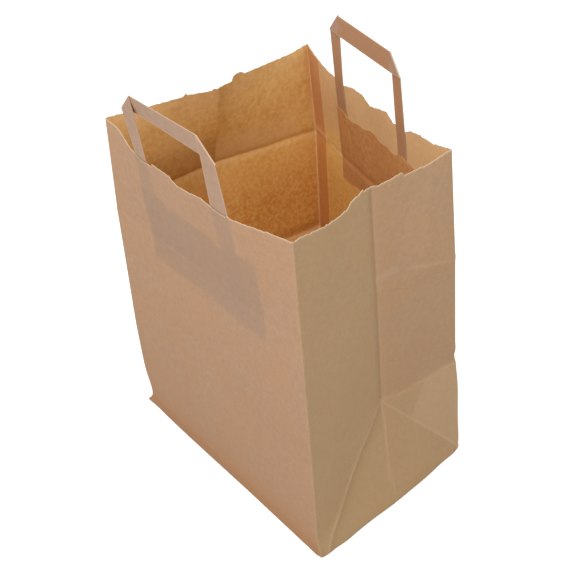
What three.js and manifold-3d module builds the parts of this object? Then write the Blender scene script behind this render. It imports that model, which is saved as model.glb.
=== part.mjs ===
// A brown kraft paper carrier bag with a square block bottom and two flat tape handles.
// The body is one sheet: a tube with a glued back seam, two ends that fold inwards, and a bottom
// closed by two flaps over the tucked ends. The mouth is torn, not cut, so its rim is wavy.
// Each handle is a folded paper tape whose two legs are glued inside the bag under a paper patch.
// Units are millimetres. +X runs along the broad faces, the front face looks to -Y, +Z is up.
// The origin is the middle of the bottom, on the face that the bag stands on.

import * as THREE from 'three';
import { mergeVertices } from 'three/addons/utils/BufferGeometryUtils.js';
import Module from 'manifold-3d';

const wasm = await Module();
wasm.setup();

// The folded sheet
const bagWidth = 229;
const bagDepth = 178;
const bagHeight = 305;
const paper = 0.4;
const creaseHeight = 210;
const seamWidth = 20;
const seamRamp = 0.5;
const flapOverlap = 24;
const flapInset = paper / 4;
const tuckInset = 3 * paper;
const footBow = 2.5;
const clearance = 0.3;

// The handles and their patches
const tapeWidth = 16.5;
const tapeThickness = 0.5;
const legPitch = 99;
const legFootDrop = 108;
const bendDrop = 13;
const bendLength = 12;
const patchWidth = 138;
const patchDrop = 42.5;
const patchHeight = 72;
const patchSideLap = 3;
const patchPaper = 0.4;
const patchStep = 2;
const patchWaves = [{ height: 1.7, length: 8.5, phase: 0 }, { height: 1.1, length: 3.7, phase: 1 }];

// How the facets are cut
const facetWidth = 14.5;
const gussetSteps = 6;
const wallSteps = 6;
const rimStep = 5;
const rimBand = 22;
const narrowest = 0.2;
const tapeRow = 14;
const risingRow = 10;
const bendRow = 3;
const patchColumn = 9;
const patchRow = 13;
const barShares = [-1, -0.8, -0.6, -0.4, -0.2, 0, 0.2, 0.4, 0.6, 0.8, 1];
const foldShares = [0.02, 0.5, 0.98];
const foldBite = 1;
const foldProud = paper / 8;

// The corner lines of the sheet, in order round the bag. The two fold lines run down the middle
// of the ends, and each meets a tucked triangle at half the bag's depth above the foot.
const FRONT_LEFT = 0;
const FRONT_RIGHT = 1;
const RIGHT_FOLD = 2;
const BACK_RIGHT = 3;
const BACK_LEFT = 4;
const LEFT_FOLD = 5;

const halfDepth = bagDepth / 2;
const square = [
  [-bagWidth / 2, -halfDepth],
  [bagWidth / 2, -halfDepth],
  [bagWidth / 2, 0],
  [bagWidth / 2, halfDepth],
  [-bagWidth / 2, halfDepth],
  [-bagWidth / 2, 0],
];

// How far use has pushed each corner line out of the square box, [x, y], at four heights.
const levels = [
  { height: 0, pushed: [[-2, 2], [8, 2], [0, 0], [-3, -3], [0, 2], [0, 0]] },
  { height: halfDepth, pushed: [[-7, 0], [-2, 6], [-23, 8], [-16, -2], [6, 27], [2, 6]] },
  { height: creaseHeight, pushed: [[-11, 0], [-4, 1], [-16, -7], [-11, -18], [1, 27], [-16, 14]] },
  { height: bagHeight, pushed: [[-1, -4], [1, -8], [-16, -15], [-14, -27], [3, 17], [13, 5]] },
];
const lipLift = [-5, 3, 1, 1, -6, -9];

const rings = levels.map(({ height, pushed }) =>
  square.map(([x, y], i) => new THREE.Vector3(x + pushed[i][0], y + pushed[i][1], height)));
const [footRing, kneeRing, , lipRing] = rings;
lipRing.forEach((point, i) => { point.z += lipLift[i]; });
footRing[RIGHT_FOLD].lerpVectors(footRing[FRONT_RIGHT], footRing[BACK_RIGHT], 0.5);
footRing[LEFT_FOLD].lerpVectors(footRing[BACK_LEFT], footRing[FRONT_LEFT], 0.5);

// The torn rim of each panel: [share of the panel's width, height over the corner line]
const tear = {
  front: [[0, 0], [0.047, 1.7], [0.107, 3.8], [0.154, 0.2], [0.196, -5.2], [0.236, -6.2],
    [0.272, -8.2], [0.325, -6.7], [0.345, -6.1], [0.353, -2.6], [0.421, -0.2], [0.472, 1.1],
    [0.503, -2.5], [0.63, -1.2], [0.676, -5.6], [0.729, -7.7], [0.908, -1.5], [1, 0]],
  rightFront: [[0, 0], [0.09, 0], [0.33, -3.2], [0.49, -4.6], [0.62, -5.2], [0.7, -4.6], [0.745, -1],
    [0.83, 0], [0.9, 1.5], [0.915, 0.4], [1, 0.5]],
  rightBack: [[0, 0.5], [0.12, -1.6], [0.14, -0.6], [0.21, -1], [0.33, 0.6], [0.375, 0], [0.4, -2.8],
    [0.54, -2.4], [0.68, -2.8], [0.85, -1], [1, 0]],
  back: [[0, 0], [0.111, -6.5], [0.186, -7], [0.251, -10.4], [0.284, -15], [0.335, -13.1],
    [0.361, -14.3], [0.394, -7.5], [0.45, -10.2], [0.507, -13.9], [0.563, -8.1], [0.638, -8.8],
    [0.702, -13.6], [0.775, -12.5], [0.832, -13], [0.873, -11.2], [0.94, -6], [1, 0]],
  leftBack: [[0, 0], [0.22, -1.5], [0.5, 0.5], [0.72, 2.4], [0.75, 5.4], [0.81, 7.4], [0.85, 5.6],
    [0.865, 0.7], [0.99, 1.4], [1, 0.5]],
  leftFront: [[0, 0.5], [0.04, -1], [0.27, 0], [0.29, 1.8], [0.32, -1], [0.64, -0.6], [0.86, -0.4], [1, 0]],
};

// The six panels in order round the bag. bow is how far the middle of a panel stands out of the
// straight line between its corner lines, at the same four heights.
const panels = {
  front: { from: FRONT_LEFT, to: FRONT_RIGHT, width: bagWidth, bow: [0, -1, -2.5, 12.5] },
  rightFront: { from: FRONT_RIGHT, to: RIGHT_FOLD, width: halfDepth, bow: [0, 0, 1, 1],
    outer: FRONT_RIGHT, across: BACK_RIGHT, fold: RIGHT_FOLD, bulge: footBow },
  rightBack: { from: RIGHT_FOLD, to: BACK_RIGHT, width: halfDepth, bow: [0, 0, 0, 0],
    outer: BACK_RIGHT, across: FRONT_RIGHT, fold: RIGHT_FOLD, bulge: footBow },
  back: { from: BACK_RIGHT, to: BACK_LEFT, width: bagWidth, bow: [0, 0, -0.5, -2.5] },
  leftBack: { from: BACK_LEFT, to: LEFT_FOLD, width: halfDepth, bow: [0, 0, 0, 0],
    outer: BACK_LEFT, across: FRONT_LEFT, fold: LEFT_FOLD, bulge: 0 },
  leftFront: { from: LEFT_FOLD, to: FRONT_LEFT, width: halfDepth, bow: [0, 0, 2, 3],
    outer: FRONT_LEFT, across: BACK_LEFT, fold: LEFT_FOLD, bulge: 0 },
};
const panelNames = Object.keys(panels);

// The level just under a height, and how far the height lies towards the next one.
function levelAt(z) {
  let k = 0;
  while (k < levels.length - 2 && z >= levels[k + 1].height) k += 1;
  return [k, (z - levels[k].height) / (levels[k + 1].height - levels[k].height)];
}

// A point on a corner line, z up the sheet. Above the lip the line runs straight on.
function cornerLine(i, z) {
  const [k, t] = levelAt(z);
  return new THREE.Vector3().lerpVectors(rings[k][i], rings[k + 1][i], t);
}

// The level outward direction of a panel at a height.
function outward(name, z) {
  const { from, to } = panels[name];
  const along = cornerLine(to, z).sub(cornerLine(from, z));
  return new THREE.Vector3(along.y, -along.x, 0).normalize();
}

// Where two panels meet, the offset of the shared line runs along their mitre.
function mitre(a, b) {
  return a.clone().add(b).divideScalar(1 + a.dot(b));
}

// The gusset below the knee is three flat faces: two strips beside the corner lines and the tucked
// triangle between them, which meet along folds at 45 degrees on the sheet.
function tuckedEnd({ outer, across, fold, bulge }, reach, out, z) {
  const corner = footRing[outer];
  const apex = kneeRing[fold];
  const up = z / halfDepth;
  const bulging = bulge * (1 - up) * Math.sin((Math.PI * reach) / bagDepth);
  const point = corner.clone().addScaledVector(out, bulging);
  if (reach < z) {
    point.addScaledVector(apex.clone().sub(kneeRing[outer]), reach / halfDepth);
    return point.addScaledVector(kneeRing[outer].clone().sub(corner), up);
  }
  const middle = corner.clone().add(footRing[across]).multiplyScalar(0.5);
  point.addScaledVector(footRing[across].clone().sub(corner), reach / bagDepth);
  return point.addScaledVector(apex.clone().sub(middle), up);
}

// A point of the outside face of a panel, s along it from its first corner line, z up the sheet,
// and inward behind that face.
function sheetPoint(name, s, z, inward = 0) {
  const panel = panels[name];
  const share = s / panel.width;
  const out = outward(name, z);
  let point;
  if (panel.outer !== undefined && z < halfDepth) {
    point = tuckedEnd(panel, panel.outer === panel.from ? s : panel.width - s, out, z);
  } else {
    point = cornerLine(panel.from, z).lerp(cornerLine(panel.to, z), share);
    const [k, t] = levelAt(z);
    const bow = k === levels.length - 2 && t > 1
      ? panel.bow[k + 1]
      : THREE.MathUtils.lerp(panel.bow[k], panel.bow[k + 1], t);
    point.addScaledVector(out, bow * Math.sin(Math.PI * share));
  }
  return point.addScaledVector(out, -inward);
}

// Straight lines between listed pairs.
function interpolate(pairs, x) {
  let i = 0;
  while (i < pairs.length - 2 && x > pairs[i + 1][0]) i += 1;
  const [[x0, y0], [x1, y1]] = [pairs[i], pairs[i + 1]];
  return THREE.MathUtils.mapLinear(x, x0, x1, y0, y1);
}

// The wall is two papers thick over the glued seam, which ends at the back left corner line.
const seamEnds = [[0, paper], [bagWidth - seamWidth - seamRamp, paper], [bagWidth - seamWidth, 2 * paper],
  [bagWidth - seamRamp, 2 * paper], [bagWidth, paper]];
const wallAt = (name, s) => (name === 'back' ? interpolate(seamEnds, s) : paper);

function spaced(from, to, step) {
  const count = Math.max(1, Math.round((to - from) / step));
  return Array.from({ length: count }, (_, i) => from + ((to - from) * i) / count);
}

// Columns of facets round the bag, each {name, s}. The ends have as many columns as there are rows
// below the knee, so that the 45 degree folds run along facet edges.
const wallColumns = panelNames.flatMap((name) => {
  const { width, outer } = panels[name];
  if (outer !== undefined) return spaced(0, width, width / gussetSteps).map((s) => ({ name, s }));
  if (name === 'front') return spaced(0, width, facetWidth).map((s) => ({ name, s }));
  const seam = [bagWidth - seamWidth - seamRamp, bagWidth - seamWidth, bagWidth - seamWidth / 2,
    bagWidth - seamRamp];
  return [...spaced(0, seam[0], facetWidth), ...seam].map((s) => ({ name, s }));
});

// The rim has finer columns, with one at each point of the tear.
const rimColumns = panelNames.flatMap((name) => {
  const { width } = panels[name];
  const torn = tear[name].map(([share]) => share * width);
  const seam = name === 'back' ? seamEnds.map(([s]) => s) : [];
  const fixed = [...torn, ...seam].sort((a, b) => a - b);
  const filled = spaced(0, width, rimStep).filter((s) => fixed.every((f) => Math.abs(f - s) > rimStep / 3));
  const all = [...fixed, ...filled].sort((a, b) => a - b);
  return all.filter((s, i) => s < width - narrowest && (i === 0 || s - all[i - 1] > narrowest))
    .map((s) => ({ name, s }));
});

// A ring of points of one face of the wall at a height, or at the torn rim where height is left out.
function wallRing(columns, inside, height) {
  return columns.map(({ name, s }, i) => {
    const { width } = panels[name];
    const z = height ?? bagHeight + interpolate(tear[name], s / width);
    const point = sheetPoint(name, s, z);
    if (!inside) return point;
    const before = columns[(i + columns.length - 1) % columns.length].name;
    const direction = s === 0 ? mitre(outward(before, z), outward(name, z)) : outward(name, z);
    return point.addScaledVector(direction, -wallAt(name, s));
  });
}

// A mesh being collected: points, and triangles as their numbers.
class Skin {
  constructor() {
    this.points = [];
    this.faces = [];
  }

  add(points) {
    const first = this.points.length;
    this.points.push(...points);
    return points.map((_, i) => first + i);
  }

  face(a, b, c, flip = false) {
    this.faces.push(flip ? [a, c, b] : [a, b, c]);
  }

  // Between two rings with the same columns. rises says which way each square is split.
  band(low, high, flip, rises = () => true) {
    low.forEach((a, i) => {
      const j = (i + 1) % low.length;
      if (rises(i)) {
        this.face(a, low[j], high[j], flip);
        this.face(a, high[j], high[i], flip);
      } else {
        this.face(a, low[j], high[i], flip);
        this.face(low[j], high[j], high[i], flip);
      }
    });
  }

  // Between two rings with different columns, by walking round both at once.
  zip(low, lowAt, high, highAt, flip) {
    let i = 0;
    let j = 0;
    while (i < low.length || j < high.length) {
      const a = low[i % low.length];
      const b = high[j % high.length];
      const nextLow = i < low.length ? lowAt[i + 1] : Infinity;
      const nextHigh = j < high.length ? highAt[j + 1] : Infinity;
      if (nextLow <= nextHigh) {
        i += 1;
        this.face(a, low[i % low.length], b, flip);
      } else {
        j += 1;
        this.face(a, high[j % high.length], b, flip);
      }
    }
  }

  fan(ring, centre, flip) {
    const [middle] = this.add([centre]);
    ring.forEach((a, i) => this.face(middle, a, ring[(i + 1) % ring.length], flip));
  }

  geometry() {
    const geometry = new THREE.BufferGeometry();
    geometry.setAttribute('position',
      new THREE.Float32BufferAttribute(this.points.flatMap((p) => [p.x, p.y, p.z]), 3));
    geometry.setIndex(this.faces.flat());
    return geometry;
  }
}

function toSolid(geometry) {
  const bare = geometry.clone();
  bare.deleteAttribute('normal');
  bare.deleteAttribute('uv');
  const merged = mergeVertices(bare, 1e-5);
  return new wasm.Manifold(new wasm.Mesh({
    numProp: 3,
    vertProperties: new Float32Array(merged.attributes.position.array),
    triVerts: new Uint32Array(merged.index.array),
  }));
}

function toGeometry(solid) {
  const { vertProperties, triVerts } = solid.getMesh();
  const geometry = new THREE.BufferGeometry();
  geometry.setAttribute('position', new THREE.BufferAttribute(new Float32Array(vertProperties), 3));
  geometry.setIndex(new THREE.BufferAttribute(new Uint32Array(triVerts), 1));
  return geometry;
}

function joined(geometries) {
  return toGeometry(geometries.map(toSolid).reduce((whole, next) => whole.add(next)));
}

// How far round the bag each column lies, closed by the whole way round.
function wayRound(columns) {
  const starts = {};
  let total = 0;
  panelNames.forEach((name) => {
    starts[name] = total;
    total += panels[name].width;
  });
  return [...columns.map(({ name, s }) => starts[name] + s), total];
}

// The bottom is a stack of three papers: the front flap lowest, the back flap over it, and the
// floor with the tucked ends on top of both.
const backFlapBase = paper;
const floorBase = 2 * paper;
const floorTop = 3 * paper;

function bodyShell() {
  const skin = new Skin();
  const lowRows = Array.from({ length: gussetSteps - 1 }, (_, i) => (halfDepth * (i + 1)) / gussetSteps);
  const bandBase = bagHeight - rimBand;
  const heights = [...lowRows, ...spaced(halfDepth, creaseHeight, (creaseHeight - halfDepth) / wallSteps),
    ...spaced(creaseHeight, bandBase, (bandBase - creaseHeight) / (wallSteps - 2)), bandBase];
  const rises = (i) => {
    const { from, outer } = panels[wallColumns[i].name];
    return outer === undefined || outer === from;
  };
  const rims = [false, true].map((inside) => {
    const base = inside ? floorTop : floorBase;
    const rows = [base, ...heights].map((z) => skin.add(wallRing(wallColumns, inside, z)));
    rows.slice(1).forEach((row, k) => skin.band(rows[k], row, inside, rises));
    const rim = skin.add(wallRing(rimColumns, inside));
    skin.zip(rows.at(-1), wayRound(wallColumns), rim, wayRound(rimColumns), inside);
    skin.fan(rows[0], new THREE.Vector3(0, 0, base), !inside);
    return rim;
  });
  skin.band(rims[0], rims[1], false);
  return skin.geometry();
}

// A flat piece of the bottom, its outline given in the plane, between two heights.
function bottomPiece(outline, base, top) {
  const shape = new THREE.Shape(outline.map(({ x, y }) => new THREE.Vector2(x, y)));
  return new THREE.ExtrudeGeometry(shape, { depth: top - base, bevelEnabled: false }).translate(0, 0, base);
}

// A place beside an edge of the foot: so far along the edge from a corner, and so far in from it.
function footEdge(from, to) {
  const along = footRing[to].clone().sub(footRing[from]).normalize();
  const into = new THREE.Vector3(-along.y, along.x, 0);
  return (corner, forward, inward) => (
    corner.clone().addScaledVector(along, forward).addScaledVector(into, inward));
}

// A flap hinges on one long edge of the foot. Its ends are cut at 45 degrees by the tucked ends.
function flapOutline(from, to) {
  const place = footEdge(from, to);
  const [a, b] = [footRing[from], footRing[to]];
  const reach = halfDepth + flapOverlap / 2;
  return [place(a, 2 * flapInset, flapInset), place(b, -2 * flapInset, flapInset),
    place(b, -reach, reach - flapInset), place(a, reach, reach - flapInset)];
}

// A tucked end lies flat on the floor as a triangle on a short edge of the foot.
function tuckOutline(from, to) {
  const place = footEdge(from, to);
  const [a, b] = [footRing[from], footRing[to]];
  return [place(a, 2 * tuckInset, tuckInset), place(b, -2 * tuckInset, tuckInset),
    place(a.clone().lerp(b, 0.5), 0, halfDepth - tuckInset)];
}

function bagBody() {
  const sunk = flapInset;
  return joined([
    bodyShell(),
    bottomPiece(flapOutline(BACK_RIGHT, BACK_LEFT), backFlapBase, floorBase + sunk),
    bottomPiece(flapOutline(FRONT_LEFT, FRONT_RIGHT), 0, backFlapBase + sunk),
    bottomPiece(tuckOutline(FRONT_RIGHT, BACK_RIGHT), floorTop - sunk, floorTop + paper),
    bottomPiece(tuckOutline(BACK_LEFT, FRONT_LEFT), floorTop - sunk, floorTop + paper),
  ]);
}

// A sheet of paper as a closed solid. grid[row][column] holds {s, z, near, far}, and place turns s, z
// and a depth behind the wall's outside face into a point.
function sheetSolid(grid, place) {
  const skin = new Skin();
  const [near, far] = ['near', 'far'].map((side) =>
    grid.map((row) => skin.add(row.map((p) => place(p.s, p.z, p[side])))));
  const quad = (a, b, c, d) => {
    skin.face(a, b, c);
    skin.face(a, c, d);
  };
  for (let r = 1; r < grid.length; r += 1) {
    for (let c = 1; c < grid[r].length; c += 1) {
      quad(near[r - 1][c - 1], near[r - 1][c], near[r][c], near[r][c - 1]);
      quad(far[r - 1][c - 1], far[r][c - 1], far[r][c], far[r - 1][c]);
    }
    const last = grid[r].length - 1;
    quad(near[r - 1][0], near[r][0], far[r][0], far[r - 1][0]);
    quad(near[r - 1][last], far[r - 1][last], far[r][last], near[r][last]);
  }
  const top = grid.length - 1;
  for (let c = 1; c < grid[0].length; c += 1) {
    quad(near[0][c - 1], far[0][c - 1], far[0][c], near[0][c]);
    quad(near[top][c - 1], near[top][c], far[top][c], far[top][c - 1]);
  }
  return skin.geometry();
}

// Each broad face carries one handle. s runs the way round the bag, so left and right are as seen
// from outside that face. rise is how high the tape stands over the lip, and lean is how far it
// leans over, [x, y], for each millimetre it rises.
const handles = {
  front: { middle: bagWidth / 2 - 3.6, rise: 51.5, lapLeft: true, lean: [[0.047, -0.166], [-0.044, -0.119]] },
  back: { middle: bagWidth / 2 + 3.9, rise: 46.5, lapLeft: false, lean: [[-0.119, -0.03], [-0.111, -0.001]] },
};

// Depths behind the outside face of the wall
const legNear = paper + clearance;
const legFar = legNear + tapeThickness;
const barNear = legFar + clearance;
const barFar = barNear + tapeThickness;
const patchOverLeg = legFar + clearance;

// The tape leaves the wall a little under the lip and bends over to its own lean.
const bendStart = bagHeight - bendDrop;

function handlePlace(name) {
  const { middle, lean } = handles[name];
  const directions = lean.map(([x, y]) => new THREE.Vector3(x, y, Math.sqrt(1 - x * x - y * y)));
  return (s, z, inward) => {
    if (z <= bendStart) return sheetPoint(name, s, z, inward);
    const start = sheetPoint(name, s, bendStart, inward);
    const wall = start.clone().sub(sheetPoint(name, s, bendStart - 1, inward));
    const share = (s - middle) / legPitch + 0.5;
    const own = directions[0].clone().lerp(directions[1], share);
    const rise = z - bendStart;
    const turned = rise < bendLength ? (rise * rise) / (2 * bendLength) : rise - bendLength / 2;
    return start.addScaledVector(wall, rise - turned).addScaledVector(own, turned);
  };
}

const legFoot = bagHeight - legFootDrop;

// The leg's top and the bar's ends are folded at 45 degrees, which cuts the outer corner off.
function tapeHandle(name) {
  const { middle, rise } = handles[name];
  const place = handlePlace(name);
  const half = tapeWidth / 2;
  const insideTop = bagHeight + rise - tapeWidth;
  const rows = [legFoot, creaseHeight, ...spaced(creaseHeight, bendStart, tapeRow).slice(1), bendStart,
    ...spaced(bendStart, bendStart + bendLength, bendRow).slice(1),
    ...spaced(bendStart + bendLength, insideTop, risingRow)];
  const leg = (side) => {
    const centre = middle + (side * legPitch) / 2;
    const columns = [-half, 0, half];
    const lower = rows.map((z) => columns.map((c) => ({ s: centre + c, z, near: legNear, far: legFar })));
    const upper = columns.map((c) => (
      { s: centre + c, z: insideTop + half - side * c, near: legNear, far: legFar }));
    return sheetSolid([...lower, upper], place);
  };
  const outerEnd = legPitch / 2 + half;
  const bar = () => sheetSolid([0, 0.5, 1].map((up) => {
    const reach = outerEnd - tapeWidth * up;
    return barShares.map((share) => (
      { s: middle + share * reach, z: insideTop + tapeWidth * up, near: barNear, far: barFar }));
  }), place);
  const fold = (side) => {
    const line = (across) => foldShares.map((t) => ({
      s: middle + side * (outerEnd - tapeWidth * t - across),
      z: insideTop + tapeWidth * t - across,
      near: legNear - foldProud,
      far: barFar + foldProud,
    }));
    const outline = [line(foldBite), line(-foldProud)];
    return sheetSolid(side > 0 ? outline.map((row) => row.toReversed()) : outline, place);
  };
  return joined([leg(-1), leg(1), bar(), fold(-1), fold(1)]);
}

// The patch lies on the wall, steps up over each leg of the tape, and has a wavy torn top edge.
function handlePatch(name) {
  const { middle, lapLeft } = handles[name];
  const outerEdge = legPitch / 2 + tapeWidth / 2 + patchSideLap;
  const start = lapLeft ? middle - outerEdge : middle + outerEdge - patchWidth;
  const end = start + patchWidth;
  const legs = [-1, 1].map((side) => middle + (side * legPitch) / 2);
  const steps = legs.flatMap((centre) => [-1, 1].flatMap((side) => {
    const edge = centre + side * (tapeWidth / 2 + clearance);
    return [edge, edge + side * patchStep];
  }));
  const plain = spaced(start, end, patchColumn)
    .filter((s) => steps.every((f) => Math.abs(f - s) > patchStep));
  const columns = [...new Set([start, ...plain, ...steps.filter((s) => s > start && s < end), end])]
    .sort((a, b) => a - b);
  const depthAt = (s) => {
    const near = Math.min(...legs.map((centre) => Math.abs(s - centre)));
    const over = THREE.MathUtils.clamp((near - tapeWidth / 2 - clearance) / patchStep, 0, 1);
    return THREE.MathUtils.lerp(patchOverLeg, legNear, over);
  };
  const base = bagHeight - patchDrop - patchHeight;
  const wave = (s) => patchWaves.reduce(
    (sum, { height, length, phase }) => sum + height * Math.sin(s / length + phase), 0);
  const row = (z, torn) => columns.map((s) => {
    const near = depthAt(s);
    return { s, z: z + torn * wave(s), near, far: near + patchPaper };
  });
  const heights = [base, creaseHeight, ...spaced(creaseHeight, bagHeight - patchDrop, patchRow).slice(1)];
  return sheetSolid([...heights.map((z) => row(z, 0)), row(bagHeight - patchDrop, 1)],
    (s, z, inward) => sheetPoint(name, s, z, inward));
}

function piece(name, geometry, color) {
  const material = new THREE.MeshStandardMaterial({ color, roughness: 0.85, metalness: 0 });
  const mesh = new THREE.Mesh(geometry, material);
  mesh.name = name;
  return mesh;
}

const bag = new THREE.Group();
bag.add(piece('bag_body', bagBody(), 0xb8946f));
for (const name of ['front', 'back']) {
  bag.add(piece(`${name}_handle`, tapeHandle(name), 0xb2937c));
  bag.add(piece(`${name}_handle_patch`, handlePatch(name), 0xa3693c));
}

export default bag;
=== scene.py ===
"""The looks of a brown kraft paper carrier bag with two flat tape handles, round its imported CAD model."""

import math

import bpy
import numpy as np
from bpy.props import FloatProperty, FloatVectorProperty, PointerProperty, StringProperty
from bpy.types import Operator, Panel, PropertyGroup
from mathutils import Matrix, Vector


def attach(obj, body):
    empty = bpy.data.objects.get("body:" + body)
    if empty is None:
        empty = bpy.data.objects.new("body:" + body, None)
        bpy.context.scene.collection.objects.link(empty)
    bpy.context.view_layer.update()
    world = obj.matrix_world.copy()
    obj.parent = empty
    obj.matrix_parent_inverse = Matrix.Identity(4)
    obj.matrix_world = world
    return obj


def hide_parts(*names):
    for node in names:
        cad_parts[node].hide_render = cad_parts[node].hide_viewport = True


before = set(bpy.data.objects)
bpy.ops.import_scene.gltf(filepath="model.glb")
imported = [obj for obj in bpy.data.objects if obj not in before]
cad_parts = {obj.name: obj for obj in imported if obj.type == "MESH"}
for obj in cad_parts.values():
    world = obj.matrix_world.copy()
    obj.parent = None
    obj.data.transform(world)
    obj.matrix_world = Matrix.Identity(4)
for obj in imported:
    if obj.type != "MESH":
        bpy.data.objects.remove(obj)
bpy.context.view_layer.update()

bl_info = {
    "name": "Kraft Carrier Bag",
    "version": (1, 0, 0),
    "blender": (4, 5, 0),
    "location": "3D View > Sidebar > Paper Bag",
    "description": "Builds a brown paper carrier bag with flat tape handles",
    "category": "Add Mesh",
}

MM = 0.001

# The folded sheet, in millimetres. The frame gives the outer size only after use has pushed the
# bag about, so the flat sizes are stated here as the bag was made.
BAG_WIDTH = 229.0
BAG_DEPTH = 178.0
BAG_HEIGHT = 305.0
HALF_DEPTH = BAG_DEPTH / 2
CREASE_HEIGHT = 210.0
PAPER = 0.4
SEAM_WIDTH = 20.0
SEAM_RAMP = 0.5
FLAP_OVERLAP = 24.0
FOOT_BOW = 2.5
FLOOR_BASE = 2 * PAPER
FLOOR_TOP = 3 * PAPER

# The handles and their patches
TAPE_WIDTH = 16.5
TAPE_THICKNESS = 0.5
LEG_PITCH = 99.0
LEG_FOOT = BAG_HEIGHT - 108.0
PATCH_WIDTH = 138.0
PATCH_HEIGHT = 72.0
PATCH_TOP = BAG_HEIGHT - 42.5
PATCH_BASE = PATCH_TOP - PATCH_HEIGHT
PATCH_SIDE_LAP = 3.0
PATCH_PAPER = 0.4
PATCH_STEP = 2.0
PATCH_SLACK = 0.8
CLEARANCE = 0.2

# Depths behind the outside face of the wall
LEG_MIDDLE = PAPER + CLEARANCE + TAPE_THICKNESS / 2
BAR_MIDDLE = LEG_MIDDLE + TAPE_THICKNESS + CLEARANCE
FOLD_MIDDLE = (LEG_MIDDLE + BAR_MIDDLE) / 2
LEG_NEAR = PAPER + CLEARANCE
PATCH_OVER_LEG = LEG_NEAR + TAPE_THICKNESS + CLEARANCE

# Where a leg starts to bend over, along what height it turns, how far above that it starts to be
# pulled straight, and the run over which the wall's slope is measured
BEND_START = BAG_HEIGHT - 13.0
BEND_LENGTH = 12.0
PULL_START = 8.0
SLOPE_RUN = 4.0

# The corner lines and the ends' middle folds, in order round the bag. Use has pushed each out of the
# square box, [x, y], at the foot, at the knee of the tucked ends, at the second crease and at the
# lip, whose points are lifted too.
FRONT_LEFT, FRONT_RIGHT, RIGHT_FOLD, BACK_RIGHT, BACK_LEFT, LEFT_FOLD = range(6)
SQUARE = np.array([[-1, -1], [1, -1], [1, 0], [1, 1], [-1, 1], [-1, 0]]) * [BAG_WIDTH / 2, HALF_DEPTH]
HEIGHTS = np.array([0, HALF_DEPTH, CREASE_HEIGHT, BAG_HEIGHT])
PUSHED = np.array([
    [[-2, 2], [8, 2], [0, 0], [-3, -3], [0, 2], [0, 0]],
    [[-7, 0], [-2, 6], [-23, 8], [-16, -2], [6, 27], [2, 6]],
    [[-11, 0], [-4, 1], [-16, -7], [-11, -18], [1, 27], [-16, 14]],
    [[-1, -4], [1, -8], [-16, -15], [-14, -27], [3, 17], [13, 5]],
])
LIP_LIFT = np.array([-5, 3, 1, 1, -6, -9])

# The panels in the same order, where an end is two halves. Bow is how far the middle of a panel
# stands out of the straight line between its corner lines, at each height.
FRONT, RIGHT_FRONT, RIGHT_REAR, BACK, LEFT_REAR, LEFT_FRONT = range(6)
WIDTHS = np.array([BAG_WIDTH, HALF_DEPTH, HALF_DEPTH, BAG_WIDTH, HALF_DEPTH, HALF_DEPTH])
STARTS = np.concatenate([[0], np.cumsum(WIDTHS)])
ROUND = STARTS[-1]
BOW = np.array([
    [0, -1, -2.5, 12.5], [0, 0, 1, 1], [0, 0, 0, 0],
    [0, 0, -0.5, -2.5], [0, 0, 0, 0], [0, 0, 2, 3],
])

# For each panel: whether it is half an end, the corner line on its outer side, the one across the
# end from that, the fold on its other side, whether the outer side comes first round the bag, and
# how far its foot bulges
IS_END = np.array([False, True, True, False, True, True])
OUTER = np.array([FRONT_LEFT, FRONT_RIGHT, BACK_RIGHT, BACK_RIGHT, BACK_LEFT, FRONT_LEFT])
ACROSS = np.array([FRONT_LEFT, BACK_RIGHT, FRONT_RIGHT, BACK_RIGHT, FRONT_LEFT, BACK_LEFT])
FOLD = np.array([RIGHT_FOLD, RIGHT_FOLD, RIGHT_FOLD, LEFT_FOLD, LEFT_FOLD, LEFT_FOLD])
OUTER_FIRST = np.array([True, True, False, True, True, False])
BULGE = np.array([0, FOOT_BOW, FOOT_BOW, 0, 0, 0])

# The torn rim of each panel: share of the panel's width, height over the corner line
TEAR = [
    [(0, 0), (0.047, 1.7), (0.107, 3.8), (0.154, 0.2), (0.196, -5.2), (0.236, -6.2), (0.272, -8.2),
     (0.325, -6.7), (0.345, -6.1), (0.353, -2.6), (0.421, -0.2), (0.472, 1.1), (0.503, -2.5),
     (0.63, -1.2), (0.676, -5.6), (0.729, -7.7), (0.908, -1.5), (1, 0)],
    [(0, 0), (0.09, 0), (0.33, -3.2), (0.49, -4.6), (0.62, -5.2), (0.7, -4.6), (0.745, -1),
     (0.83, 0), (0.9, 1.5), (0.915, 0.4), (1, 0.5)],
    [(0, 0.5), (0.12, -1.6), (0.14, -0.6), (0.21, -1), (0.33, 0.6), (0.375, 0), (0.4, -2.8),
     (0.54, -2.4), (0.68, -2.8), (0.85, -1), (1, 0)],
    [(0, 0), (0.111, -6.5), (0.186, -7), (0.251, -10.4), (0.284, -15), (0.335, -13.1), (0.361, -14.3),
     (0.394, -7.5), (0.45, -10.2), (0.507, -13.9), (0.563, -8.1), (0.638, -8.8), (0.702, -13.6),
     (0.775, -12.5), (0.832, -13), (0.873, -11.2), (0.94, -6), (1, 0)],
    [(0, 0), (0.22, -1.5), (0.5, 0.5), (0.72, 2.4), (0.75, 5.4), (0.81, 7.4), (0.85, 5.6),
     (0.865, 0.7), (0.99, 1.4), (1, 0.5)],
    [(0, 0.5), (0.04, -1), (0.27, 0), (0.29, 1.8), (0.32, -1), (0.64, -0.6), (0.86, -0.4), (1, 0)],
]

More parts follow.
